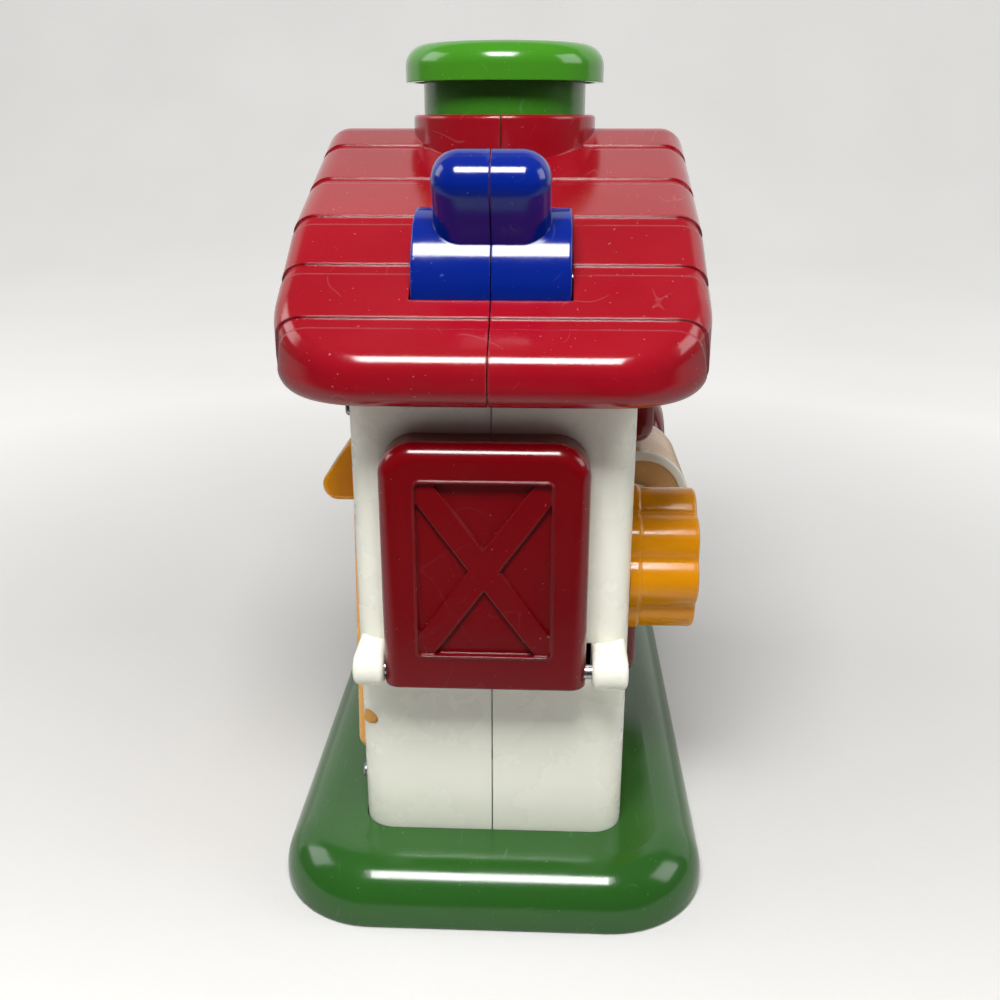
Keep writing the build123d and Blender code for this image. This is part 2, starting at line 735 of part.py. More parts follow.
with BuildPart() as front_wall_shell:
    add(walls.part)
    split(bisect_by=Plane.YZ.offset(seam_gap / 2), keep=Keep.TOP)
    for y, z in body_screws_at:
        add(rod((0, y, z), (1, 0, 0), screw_radius, body_screw_bite), mode=Mode.SUBTRACT)
front_wall_shell.part.label = "front_wall_shell"
export_step(front_wall_shell.part, "parts/front_wall_shell.step")

with BuildPart() as back_wall_shell:
    add(walls.part)
    split(bisect_by=Plane.YZ.offset(-seam_gap / 2), keep=Keep.BOTTOM)
    for y, z in body_screws_at:
        add(rod((0, y, z), (-1, 0, 0), screw_radius + screw_hole_gap, house_width), mode=Mode.SUBTRACT)
back_wall_shell.part.label = "back_wall_shell"
export_step(back_wall_shell.part, "parts/back_wall_shell.step")

with BuildPart() as body_screws:
    for y, z in body_screws_at:
        add(screw((-half_width, y, z), (1, 0, 0), screw_radius, half_width + body_screw_bite,
                  screw_head_radius, screw_head_height))
body_screws.part.label = "body_screws"
export_step(body_screws.part, "parts/body_screws.step")

# ================================================================ roof
with BuildPart() as roof:
    add(roof_block(0))
    add(course_lines() - roof_block(course_line_depth), mode=Mode.SUBTRACT)
    with BuildSketch(Plane.XY.offset(roof_height(roof_knee()))):
        Circle(collar_radius)
    extrude(amount=collar_rim_height - roof_height(roof_knee()))
    fillet(roof.faces().sort_by(Axis.Z)[-1].edges(), collar_edge_radius)
    add(gambrel_prism(half_length, slab_thickness, 0, 2 * half_width), mode=Mode.SUBTRACT)
    add(gambrel_prism(inner_length, roof_skin, 0, inner_width), mode=Mode.SUBTRACT)
    with BuildSketch(Plane.XY.offset(sleeve_bottom)):
        Circle(collar_radius)
    extrude(amount=collar_rim_height - collar_edge_radius - sleeve_bottom)
    for side in (-1, 1):
        inner_x = side * (drum_width / 2 + slot_gap)
        outer_x = inner_x + side * lever_ear
        ear = box_between((min(inner_x, outer_x), drum_y - drum_radius / 2, drum_z - drum_radius / 3),
                          (max(inner_x, outer_x), drum_y + drum_radius / 2, knee_height))
        add(ear & gambrel_prism(inner_length, roof_skin / 2, 0, inner_width))
    add(rod((-drum_width / 2 - slot_gap, drum_y, drum_z), (1, 0, 0), drum_radius + slot_gap,
            drum_width + 2 * slot_gap), mode=Mode.SUBTRACT)
    lever_pin_reach = drum_width / 2 + slot_gap + lever_ear
    add(rod((-lever_pin_reach, drum_y, drum_z), (1, 0, 0), lever_pin_radius, 2 * lever_pin_reach),
        mode=Mode.SUBTRACT)
    with BuildSketch(Plane.XY.offset(sleeve_bottom)):
        Circle(bore_radius)
    extrude(amount=2 * sleeve_depth, mode=Mode.SUBTRACT)

with BuildPart() as front_roof_shell:
    add(roof.part)
    split(bisect_by=Plane.YZ.offset(seam_gap / 2), keep=Keep.TOP)
front_roof_shell.part.label = "front_roof_shell"
export_step(front_roof_shell.part, "parts/front_roof_shell.step")

with BuildPart() as back_roof_shell:
    add(roof.part)
    split(bisect_by=Plane.YZ.offset(-seam_gap / 2), keep=Keep.BOTTOM)
back_roof_shell.part.label = "back_roof_shell"
export_step(back_roof_shell.part, "parts/back_roof_shell.step")

# ================================================================ plunger button
with BuildPart() as plunger_cap:
    with BuildSketch(Plane.XY.offset(cap_bottom)):
        Circle(cap_radius)
    extrude(amount=cap_height)
    fillet(plunger_cap.faces().sort_by(Axis.Z)[-1].edges(), cap_edge_radius)
    with BuildSketch(Plane.XY.offset(cap_bottom)):
        Circle(cap_radius - cap_skin)
    extrude(amount=cap_height - 2 * cap_skin, mode=Mode.SUBTRACT)
plunger_cap.part.label = "plunger_cap"
export_step(plunger_cap.part, "parts/plunger_cap.step")

with BuildPart() as plunger_neck:
    with BuildSketch(Plane.XY.offset(neck_bottom)):
        Circle(neck_radius)
    extrude(amount=cap_bottom + cap_height - 2 * cap_skin - neck_bottom)
    with BuildSketch(Plane.XY.offset(neck_bottom)):
        Circle(bore_radius + neck_flange)
    extrude(amount=neck_flange_thickness)
    with BuildSketch(Plane.XY.offset(neck_bottom + neck_flange_thickness)):
        Circle(neck_radius - neck_wall)
    extrude(amount=cap_bottom, mode=Mode.SUBTRACT)
plunger_neck.part.label = "plunger_neck"
export_step(plunger_neck.part, "parts/plunger_neck.step")

with BuildPart() as plunger_spring:
    coil_low = shelf_top + spring_wire / 2
    coil_high = neck_bottom - spring_wire / 2
    with BuildLine():
        coil = Helix((coil_high - coil_low) / spring_turns, coil_high - coil_low, spring_mean_radius,
                     center=(0, 0, coil_low))
    with BuildSketch(Plane(origin=coil @ 0, z_dir=coil % 0)):
        Circle(spring_wire / 2)
    sweep(path=coil, is_frenet=True)
plunger_spring.part.label = "plunger_spring"
export_step(plunger_spring.part, "parts/plunger_spring.step")

with BuildPart() as spring_shelf:
    with BuildSketch(Plane.XY.offset(shelf_top)):
        Rectangle(2 * (inner_width - fit_gap), shelf_length)
    extrude(amount=-shelf_thickness)
    with BuildSketch(Plane.XY.offset(shelf_top)):
        Circle(spring_mean_radius - spring_wire)
    extrude(amount=spring_post)
spring_shelf.part.label = "spring_shelf"
export_step(spring_shelf.part, "parts/spring_shelf.step")

# ================================================================ rocking lever
with BuildPart() as lever:
    with BuildSketch(Plane.YZ):
        with Locations((drum_y, drum_z)):
            Circle(drum_radius)
    extrude(amount=drum_width / 2, both=True)
    fillet(lever.edges().filter_by(GeomType.CIRCLE), drum_edge_radius)
    lean = radians(lever_lean)
    with BuildSketch(Plane(origin=(0, drum_y, drum_z), x_dir=(1, 0, 0), z_dir=(0, -sin(lean), cos(lean)))):
        RectangleRounded(lever_width, lever_thickness, lever_corner_radius)
    extrude(amount=lever_reach)
    tip = lever.faces().sort_by(Axis((0, drum_y, drum_z), (0, -sin(lean), cos(lean))))[-1]
    fillet(tip.edges(), lever_corner_radius - 0.5)
    with BuildSketch(Plane.YZ):
        with Locations((drum_y, drum_z)):
            Circle(drum_radius - drum_wall)
            Circle(2 * lever_pin_radius, mode=Mode.SUBTRACT)
    extrude(amount=drum_width / 2 - drum_wall, both=True, mode=Mode.SUBTRACT)
    add(pin_hole((-drum_width, drum_y, drum_z), (1, 0, 0), lever_pin_radius, 2 * drum_width), mode=Mode.SUBTRACT)

with BuildPart() as front_lever_half:
    add(lever.part)
    split(bisect_by=Plane.YZ.offset(seam_gap / 2), keep=Keep.TOP)
front_lever_half.part.label = "front_lever_half"
export_step(front_lever_half.part, "parts/front_lever_half.step")

with BuildPart() as back_lever_half:
    add(lever.part)
    split(bisect_by=Plane.YZ.offset(-seam_gap / 2), keep=Keep.BOTTOM)
back_lever_half.part.label = "back_lever_half"
export_step(back_lever_half.part, "parts/back_lever_half.step")

with BuildPart() as lever_pin:
    add(rod((-lever_pin_reach, drum_y, drum_z), (1, 0, 0), lever_pin_radius, 2 * lever_pin_reach))
lever_pin.part.label = "lever_pin"
export_step(lever_pin.part, "parts/lever_pin.step")

# ================================================================ stall door on the end wall
with BuildPart() as stall_door:
    add(on_end_wall * Pos(stall_shift, 0, stall_pin_height)
        * drop_door(stall_width, stall_height, stall_thickness, stall_below_pin, stall_pin_out,
                    stall_corner_radius, stall_edge_radius, stall_frame))
stall_door.part.label = "stall_door"
export_step(stall_door.part, "parts/stall_door.step")

with BuildPart() as stall_door_pin:
    add(rod((1 - boss_outer, stall_pin_y, stall_pin_height), (1, 0, 0), pin_radius, 2 * (boss_outer - 1)))
stall_door_pin.part.label = "stall_door_pin"
export_step(stall_door_pin.part, "parts/stall_door_pin.step")

with BuildPart() as stall_liner:
    add(on_end_wall * Pos(stall_shift, 0, 0)
        * liner(stall_opening_width, stall_opening_low, stall_opening_high, stall_depth, opening_corner))
stall_liner.part.label = "stall_liner"
export_step(stall_liner.part, "parts/stall_liner.step")

# ================================================================ stable door, low on the front wall
with BuildPart() as stable_door:
    add(side_door(stable_bottom, stable_top, stable_thickness, stable_edge_radius, stable_frame))
stable_door.part.label = "stable_door"
export_step(stable_door.part, "parts/stable_door.step")

with BuildPart() as stable_door_pin:
    add(side_pin(stable_bottom, stable_top))
stable_door_pin.part.label = "stable_door_pin"
export_step(stable_door_pin.part, "parts/stable_door_pin.step")

with BuildPart() as stable_liner:
    add(side_liner(stable_bottom, stable_top))
stable_liner.part.label = "stable_liner"
export_step(stable_liner.part, "parts/stable_liner.step")

# ================================================================ hayloft door, high on the front wall
with BuildPart() as hayloft_door:
    add(side_door(hayloft_bottom, hayloft_top, hayloft_thickness, hayloft_edge_radius, hayloft_frame))
hayloft_door.part.label = "hayloft_door"
export_step(hayloft_door.part, "parts/hayloft_door.step")

with BuildPart() as hayloft_door_pin:
    add(side_pin(hayloft_bottom, hayloft_top))
hayloft_door_pin.part.label = "hayloft_door_pin"
export_step(hayloft_door_pin.part, "parts/hayloft_door_pin.step")

with BuildPart() as hayloft_liner:
    add(side_liner(hayloft_bottom, hayloft_top))
hayloft_liner.part.label = "hayloft_liner"
export_step(hayloft_liner.part, "parts/hayloft_liner.step")

# ================================================================ scalloped knob
knob_start = half_width + front_gap
knob_face = half_width + knob_depth


def scallops(radius, crease, lobes, phase):
    """Closed outline of equal outward arcs that meet in creases."""
    step = 2 * pi / lobes
    for number in range(lobes):
        start = radians(phase) + number * step
        inner = radius - crease
        first = (inner * cos(start), inner * sin(start))
        middle = (radius * cos(start + step / 2), radius * sin(start + step / 2))
        last = (inner * cos(start + step), inner * sin(start + step))
        ThreePointArc(first, middle, last)


def fluted_disc(start, radius, thickness):
    """A thick disc square to X whose rim has lobes with rounded flutes between them."""
    with BuildPart() as disc:
        with BuildSketch(Plane.YZ.offset(start)):
            with BuildLine():
                scallops(radius, knob_flute, knob_lobes, knob_phase)
            make_face()
        extrude(amount=thickness)
        fillet(disc.edges().filter_by(Axis.X), knob_flute_radius)
        fillet(disc.faces().sort_by(Axis.X)[-1].edges(), knob_edge_radius)
    return disc.part


knob_inner_radius = knob_radius - knob_flute - knob_skin

with BuildPart() as knob:
    add(fluted_disc(knob_start, knob_radius - knob_step, knob_depth - front_gap))
    add(fluted_disc(knob_start, knob_radius, knob_flange))
    with BuildSketch(Plane.YZ.offset(knob_start)):
        Circle(knob_inner_radius)
        Circle(hub_radius, mode=Mode.SUBTRACT)
    extrude(amount=knob_depth - front_gap - knob_skin - knob_dish, mode=Mode.SUBTRACT)
    with BuildSketch(Plane.YZ.offset(knob_face)):
        Circle(knob_inner_radius)
    extrude(amount=-knob_dish, mode=Mode.SUBTRACT)
    with BuildSketch(Plane.YZ.offset(shaft_end)):
        Circle(knob_shaft_radius)
    extrude(amount=knob_start - shaft_end + knob_skin)
    add(rod((shaft_end, 0, 0), (1, 0, 0), screw_radius, plate_screw_length), mode=Mode.SUBTRACT)

with BuildPart() as crank_knob:
    add(Pos(0, -knob_distance, knob_height) * knob.part)
crank_knob.part.label = "crank_knob"
export_step(crank_knob.part, "parts/crank_knob.step")

# ================================================================ round wheel
with BuildPart() as round_wheel:
    with BuildSketch(Plane.YZ.offset(knob_start)):
        Circle(wheel_radius)
    extrude(amount=wheel_depth - front_gap)
    fillet(round_wheel.faces().sort_by(Axis.X)[-1].edges(), wheel_edge_radius)
    with BuildSketch(Plane.YZ.offset(half_width + wheel_depth)):
        Circle(wheel_radius - wheel_edge_radius - 2)
    extrude(amount=-wheel_dish, mode=Mode.SUBTRACT)
    with BuildSketch(Plane.YZ.offset(half_width + wheel_depth - wheel_dish)):
        with PolarLocations((wheel_radius - wheel_edge_radius - 2) * 0.6, wheel_grips):
            Circle(wheel_grip_radius * 0.6)
    extrude(amount=-wheel_dish, mode=Mode.SUBTRACT)
    with BuildSketch(Plane.YZ.offset(knob_start)):
        Circle(wheel_radius - wheel_edge_radius / 2)
        Circle(hub_radius, mode=Mode.SUBTRACT)
    extrude(amount=wheel_depth - front_gap - 2 * wheel_dish - 3 * knob_skin, mode=Mode.SUBTRACT)
    with BuildSketch(Plane.YZ.offset(shaft_end)):
        Circle(knob_shaft_radius)
    extrude(amount=knob_start - shaft_end + knob_skin)
    add(rod((shaft_end, 0, 0), (1, 0, 0), screw_radius, plate_screw_length), mode=Mode.SUBTRACT)

with BuildPart() as turn_wheel:
    add(Pos(0, knob_distance, knob_height) * round_wheel.part)
turn_wheel.part.label = "turn_wheel"
export_step(turn_wheel.part, "parts/turn_wheel.step")

# ================================================================ click wheels, their springs and screws
with BuildPart() as click_wheel:
    with BuildSketch(Plane.YZ.offset(shaft_end)):
        with BuildLine():
            scallops(click_wheel_radius, click_tooth, click_teeth, 90)
        make_face()
        Circle(screw_radius + screw_hole_gap, mode=Mode.SUBTRACT)
    extrude(amount=-click_wheel_thickness)

with BuildPart() as retaining_screw:
    add(screw((shaft_end - click_wheel_thickness, 0, 0), (1, 0, 0), screw_radius, plate_screw_length,
              plate_screw_head_radius, screw_head_height))

with BuildPart() as click_springs:
    spring_tip = knob_height - click_wheel_radius - fit_gap
    pad = 2 * click_spring_width
    for side in (-1, 1):
        middle = side * knob_distance
        arm_x = shaft_end - click_wheel_thickness
        with BuildSketch(Plane.XZ.offset(-middle)):
            with Locations((arm_x, spring_tip)):
                Rectangle(click_spring_thickness, pad, align=(Align.MIN, Align.MAX))
            with Locations((arm_x, spring_tip - pad)):
                Rectangle(inner_width - arm_x, click_spring_thickness, align=(Align.MIN, Align.MIN))
            with Locations((inner_width, spring_tip - pad)):
                Rectangle(click_spring_thickness, click_spring_width, align=(Align.MAX, Align.MAX))
        extrude(amount=click_spring_width / 2, both=True)
click_springs.part.label = "click_springs"
export_step(click_springs.part, "parts/click_springs.step")

with BuildPart() as knob_click_wheel:
    add(Pos(0, -knob_distance, knob_height) * click_wheel.part)
knob_click_wheel.part.label = "knob_click_wheel"
export_step(knob_click_wheel.part, "parts/knob_click_wheel.step")

with BuildPart() as wheel_click_wheel:
    add(Pos(0, knob_distance, knob_height) * click_wheel.part)
wheel_click_wheel.part.label = "wheel_click_wheel"
export_step(wheel_click_wheel.part, "parts/wheel_click_wheel.step")

with BuildPart() as knob_screw:
    add(Pos(0, -knob_distance, knob_height) * retaining_screw.part)
knob_screw.part.label = "knob_screw"
export_step(knob_screw.part, "parts/knob_screw.step")

with BuildPart() as wheel_screw:
    add(Pos(0, knob_distance, knob_height) * retaining_screw.part)
wheel_screw.part.label = "wheel_screw"
export_step(wheel_screw.part, "parts/wheel_screw.step")

# ================================================================ roller
with BuildPart() as roller_drum:
    with BuildSketch(Plane.XZ):
        with Locations((roller_x, roller_height)):
            Circle(roller_radius)
    extrude(amount=roller_length / 2 - roller_cap, both=True)
    with BuildSketch(Plane.XZ):
        with Locations((roller_x, roller_height)):
            Circle(roller_radius - roller_cap_width)
    extrude(amount=roller_length / 2 - roller_recess, both=True)
    with BuildSketch(Plane.XZ):
        with Locations((roller_x, roller_height)):
            Circle(roller_radius - roller_skin)
    extrude(amount=roller_length / 2 - roller_cap - roller_skin, both=True, mode=Mode.SUBTRACT)
    add(pin_hole((roller_x, -roller_length, roller_height), (0, 1, 0), axle_radius, 2 * roller_length),
        mode=Mode.SUBTRACT)
roller_drum.part.label = "roller_drum"
export_step(roller_drum.part, "parts/roller_drum.step")

with BuildPart() as near_roller_cap:
    with BuildSketch(Plane.XZ.offset(roller_length / 2 - roller_cap)):
        with Locations((roller_x, roller_height)):
            Circle(roller_radius)
            Circle(roller_radius - roller_cap_width, mode=Mode.SUBTRACT)
    extrude(amount=roller_cap)
    fillet(near_roller_cap.faces().sort_by(Axis.Y)[0].edges(), roller_cap_edge)
near_roller_cap.part.label = "near_roller_cap"
export_step(near_roller_cap.part, "parts/near_roller_cap.step")

with BuildPart() as far_roller_cap:
    add(mirror(near_roller_cap.part, about=Plane.XZ, mode=Mode.PRIVATE))
far_roller_cap.part.label = "far_roller_cap"
export_step(far_roller_cap.part, "parts/far_roller_cap.step")

with BuildPart() as roller_axle:
    add(rod((roller_x, -axle_reach, roller_height), (0, 1, 0), axle_radius, 2 * axle_reach))
roller_axle.part.label = "roller_axle"
export_step(roller_axle.part, "parts/roller_axle.step")

# ================================================================ ramp door and its handle
ramp_inner_x = -half_width + ramp_back
ramp_low_x = -half_width - ramp_proud_bottom
ramp_high_x = -half_width - ramp_proud_top

with BuildPart() as ramp_door:
    with BuildSketch(Plane.XZ.offset(-ramp_near)):
        with BuildLine():
            Polyline((ramp_inner_x, ramp_bottom), (ramp_inner_x, ramp_top), (ramp_high_x, ramp_top),
                     (ramp_low_x, ramp_bottom), close=True)
        make_face()
    extrude(amount=-ramp_width)
    fillet(ramp_door.edges().filter_by(Axis.X), ramp_corner_radius)
    outer_face = ramp_door.faces().filter_by(GeomType.PLANE).sort_by(Axis.X)[0]
    toe = outer_face.edges().filter_by(lambda e: (e @ 0.5).Z < ramp_bottom + ramp_corner_radius)
    fillet(toe, ramp_toe_radius)
    with BuildSketch(Plane.XZ.offset(-ramp_near)):
        with Locations((ramp_pin_x, ramp_pin_height)):
            Circle(ramp_pin_radius + ramp_barrel_wall)
    extrude(amount=-ramp_width)
    add(rod((ramp_pin_x, ramp_near - ramp_stub, ramp_pin_height), (0, 1, 0), ramp_pin_radius,
            ramp_stub + ramp_width + ramp_far_stub))
ramp_door.part.label = "ramp_door"
export_step(ramp_door.part, "parts/ramp_door.step")

with BuildPart() as ramp_handle:
    nose_x = -half_width - handle_reach + handle_nose_radius
    nose_z = handle_bottom + handle_nose_radius
    with BuildSketch(Plane.XZ.offset(-ramp_middle + handle_width / 2)):
        with Locations((nose_x, nose_z)):
            Circle(handle_nose_radius)
        with BuildLine():
            Polyline((nose_x, handle_bottom), (ramp_face_x(handle_bottom), handle_bottom),
                     (ramp_face_x(handle_top), handle_top), (nose_x, nose_z), close=True)
        make_face()
        make_hull()
    extrude(amount=-handle_width)
    outline = ramp_handle.faces().filter_by(Axis.Y).edges().filter_by(lambda e: (e @ 0.5).X < -half_width - 4)
    fillet(outline, handle_edge_radius)
ramp_handle.part.label = "ramp_handle"
export_step(ramp_handle.part, "parts/ramp_handle.step")

with BuildPart() as ramp_bay:
    bay_low = ramp_bottom - ramp_gap
    bay_high = ramp_top + ramp_gap
    bay_far = ramp_block_end + fit_gap
    outer_profile = bay_profile(bay_low - liner_skin, bay_high + liner_skin, liner_skin)
    with BuildSketch(Plane.XZ.offset(inner_length - fit_gap)):
        Polygon(*outer_profile, align=None)
    extrude(amount=-(bay_far + liner_skin + inner_length - fit_gap))
    with BuildSketch(Plane.XZ.offset(inner_length)):
        Polygon(*bay_profile(bay_low, bay_high, 0), align=None)
    extrude(amount=-(bay_far + inner_length), mode=Mode.SUBTRACT)
    with BuildSketch():
        RectangleRounded(2 * inner_width, 2 * (inner_length - fit_gap), house_corner_radius - wall)
    extrude(amount=bay_high + 2 * liner_skin, mode=Mode.INTERSECT)
ramp_bay.part.label = "ramp_bay"
export_step(ramp_bay.part, "parts/ramp_bay.step")
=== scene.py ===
"""Looks of the toy barn: moulded plastic finishes, studio light and camera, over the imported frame."""

import json
import math

import bpy
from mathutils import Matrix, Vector

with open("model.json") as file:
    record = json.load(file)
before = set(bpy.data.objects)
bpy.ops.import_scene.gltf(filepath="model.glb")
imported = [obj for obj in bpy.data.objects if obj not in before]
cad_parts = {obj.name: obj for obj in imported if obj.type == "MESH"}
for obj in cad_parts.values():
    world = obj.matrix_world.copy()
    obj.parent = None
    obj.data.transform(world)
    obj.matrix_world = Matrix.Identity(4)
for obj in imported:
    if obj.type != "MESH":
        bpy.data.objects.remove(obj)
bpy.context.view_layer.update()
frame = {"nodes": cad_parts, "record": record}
scene = bpy.context.scene

# ---------------------------------------------------------------- camera
CAMERA_AT = Vector((0.01504, -0.38990, 0.23813))
CAMERA_LOOKS = Vector((-0.0402, 0.9406, -0.3373))
CAMERA_LENS = 38.61
CAMERA_SENSOR = 36.0
CAMERA_CLIP = 0.01

# ---------------------------------------------------------------- what the plastic shows
# Sizes and distances are in metres, turns in degrees. A pair of shares is the part of a noise that is
# stretched to run from 0 to 1.
CLOUD_SIZE = 0.05               # the two near tones
CLOUD_SHARES = (0.25, 0.75)
SPECK_SIZE = 0.0011             # dust
SPECK_SHARES = (0.745, 0.80)
SPECK_DULLS = 0.2               # how much rougher a speck is
HAIR_SETS = ((0.009, (12, 4, 64)), (0.013, (-8, 75, -52)))    # hairline scratches: spacing and turn
HAIR_STRETCH = (1.0, 0.025, 1.0)
HAIR_WIDTH = 0.012
HAIR_BREAKS = 1.3               # size of the gaps along a scratch, as a share of the spacing
HAIR_BREAK_SHARES = (0.60, 0.66)
HAIR_PALES, HAIR_DULLS, HAIR_DEPTH = 0.12, 0.08, 0.015
WORN_NORMALS = (0.90, 0.985)    # how far an edge turns where it is worn through, and where it is whole
WORN_PATCH_SIZE = 0.006
WORN_PATCH_SHARES = (0.45, 0.70)
WORN_PALES, WORN_DULLS = 0.16, 0.15
BLOOM_SIZE = 0.03               # thin grey haze
BLOOM_SHARES = (0.30, 0.75)
CREVICE_REACH = 0.003
CREVICE_OPEN = (0.25, 0.70)     # how open a corner is where its painted shade is full, and where it ends
# painted shade in corners and crevices: the size and shares of the noise that breaks it into patches, its
# least strength there, and how dark it makes the colour
CORNER_SHADE_PATCH_SIZE = 0.004
CORNER_SHADE_PATCH_SHARES = (0.35, 0.65)
CORNER_SHADE_LEAST = 0.4
CORNER_SHADE_TONE = 0.45
DUST_SHARE, DUST_GREY = 0.65, 0.75    # the pale tone of dust, haze and scuffs
GLOSS_CLOUD_SIZE = 0.018
GLOSS_SHARES = (0.30, 0.70)
GLOSS_RANGE = (0.75, 1.35)      # of the roughness
WAVE_SIZE = 0.020               # the slow wave of a moulded face
PEEL_SIZE = 0.0016              # orange peel
PEEL_DEPTH = 0.05
PLASTIC_BUMP = 0.0008
PLASTIC_IOR = 1.5
EDGE_SAMPLES, CREVICE_SAMPLES = 6, 4

# ---------------------------------------------------------------- what the steel shows
DRAWN_SIZE = 0.0004
DRAWN_STRETCH = 0.05
DRAWN_SHARES = (0.3, 0.7)
DRAWN_RANGE = (0.7, 1.4)        # of the roughness
STAIN_SIZE = 0.004
STAIN_SHARES = (0.45, 0.75)
STAIN_TONE, STAIN_DARKENS, STAIN_DULLS = 0.55, 0.5, 0.15
STEEL_EDGE = 0.0003
STEEL_BUMP_STRENGTH = 0.15
STEEL_BUMP = 0.0002

# ---------------------------------------------------------------- floor and light
FLOOR_HALF = 4.5
BEND_START, BEND_RADIUS, BEND_STEPS = 1.2, 0.8, 16
BACKDROP_TOP = 3.0
PAPER_TONES = ((206, 205, 203), (202, 201, 199))
PAPER_CLOUD_SIZE = 0.25
PAPER_CLOUD_SHARES = (0.3, 0.7)
PAPER_ROUGHNESS = 0.7
PAPER_GRAIN_SIZE = 0.004
PAPER_GRAIN_STRENGTH = 0.15
PAPER_GRAIN_DEPTH = 0.001
PAPER_FADE = (0.10, 0.60)       # metres from the barn over which the paper's own light rises
PAPER_LIFT = (0.16, 1.02)       # from this strength to this one
PAPER_DIM = (-0.30, -0.15)      # where the paper's painted dark reflection in the barn's gloss is full, and where it ends, along Y
# painted reflection: the dark colour that the paper in front of the barn has for glossy rays
PAPER_DARK = (30, 28, 27)
PAPER_BEHIND = (0.6, 1.4)       # where the paper's painted glow in the barn's gloss rises, along Y
# strength of the paper's painted glow, seen only in the barn's gloss
PAPER_GLEAM = 1.3
WORLD_COLOUR = (1.0, 0.995, 0.985, 1.0)
WORLD_BANDS = (                 # along Y of the direction: where the light rises, and its strengths
    ((-0.6, 0.1), (0.05, 0.14)),     # from behind the camera to overhead
    ((0.45, 0.70), (0.0, 1.50)),     # from overhead to behind the barn
)
WORLD_SEEN = 0.82               # strength of the surroundings where the camera sees them
LAMPS = (                       # name, place, aim, width, length, power
    ("key_strip", (-0.02, -0.39, 0.61), (-0.02, -0.25, 0.0), 0.26, 0.20, 4.9),
    ("right_fill", (1.1, -0.1, 0.7), (0.0, 0.0, 0.1), 0.6, 0.6, 4.0),
    ("left_fill", (-1.1, 0.1, 0.8), (0.0, 0.0, 0.1), 0.6, 0.6, 4.0),
)

# ---------------------------------------------------------------- helpers


def srgb(r, g, b):
    """A colour given as 0-255 display values, as linear light."""
    def linear(value):
        share = value / 255
        return share / 12.92 if share <= 0.04045 else ((share + 0.055) / 1.055) ** 2.4
    return (linear(r), linear(g), linear(b), 1.0)


def dusty(colour):
    """A colour most of the way to the light grey of dust."""
    return tuple((1 - DUST_SHARE) * part + DUST_SHARE * DUST_GREY for part in colour[:3]) + (1.0,)


def darker(colour, share):
    return tuple(share * part for part in colour[:3]) + (1.0,)


class Nodes:
    """Short calls that add nodes to a node tree."""

    def __init__(self, tree):
        self.tree = tree

    def link(self, start, end):
        self.tree.links.new(start, end)

    def feed(self, socket, value):
        """Give a socket its value: another node's output, or a plain one."""
        if isinstance(value, bpy.types.NodeSocket):
            self.link(value, socket)
        else:
            socket.default_value = value

    def add(self, kind, **values):
        """Add a node; each value goes to its input of that name, or else to its setting."""
        node = self.tree.nodes.new(kind)
        for key, value in values.items():
            if key in node.inputs:
                self.feed(node.inputs[key], value)
            else:
                setattr(node, key, value)
        return node

    def remap(self, value, low, high, to_low=0.0, to_high=1.0):
        node = self.add("ShaderNodeMapRange", Value=value)
        ends = {"From Min": low, "From Max": high, "To Min": to_low, "To Max": to_high}
        for key, end in ends.items():
            node.inputs[key].default_value = end
        return node.outputs["Result"]

    def math(self, operation, first, second):
        node = self.add("ShaderNodeMath", operation=operation)
        self.feed(node.inputs[0], first)
        self.feed(node.inputs[1], second)
        return node.outputs[0]

    def vector_math(self, operation, *vectors):
        node = self.add("ShaderNodeVectorMath", operation=operation)
        for socket, vector in zip(node.inputs, vectors):
            self.link(vector, socket)
        return node.outputs["Value"]

    def mix(self, share, first, second):
        """Two colours mixed."""
        node = self.add("ShaderNodeMix", data_type="RGBA")
        for index, value in ((0, share), (6, first), (7, second)):
            self.feed(node.inputs[index], value)
        return node.outputs[2]

    def laid_over(self, under, over, mask, share):
        """A colour with another one over it where the mask is, at most by this share."""
        return self.mix(self.math("MULTIPLY", mask, share), under, over)

    def plus(self, value, mask, share):
        return self.math("ADD", value, self.math("MULTIPLY", mask, share))


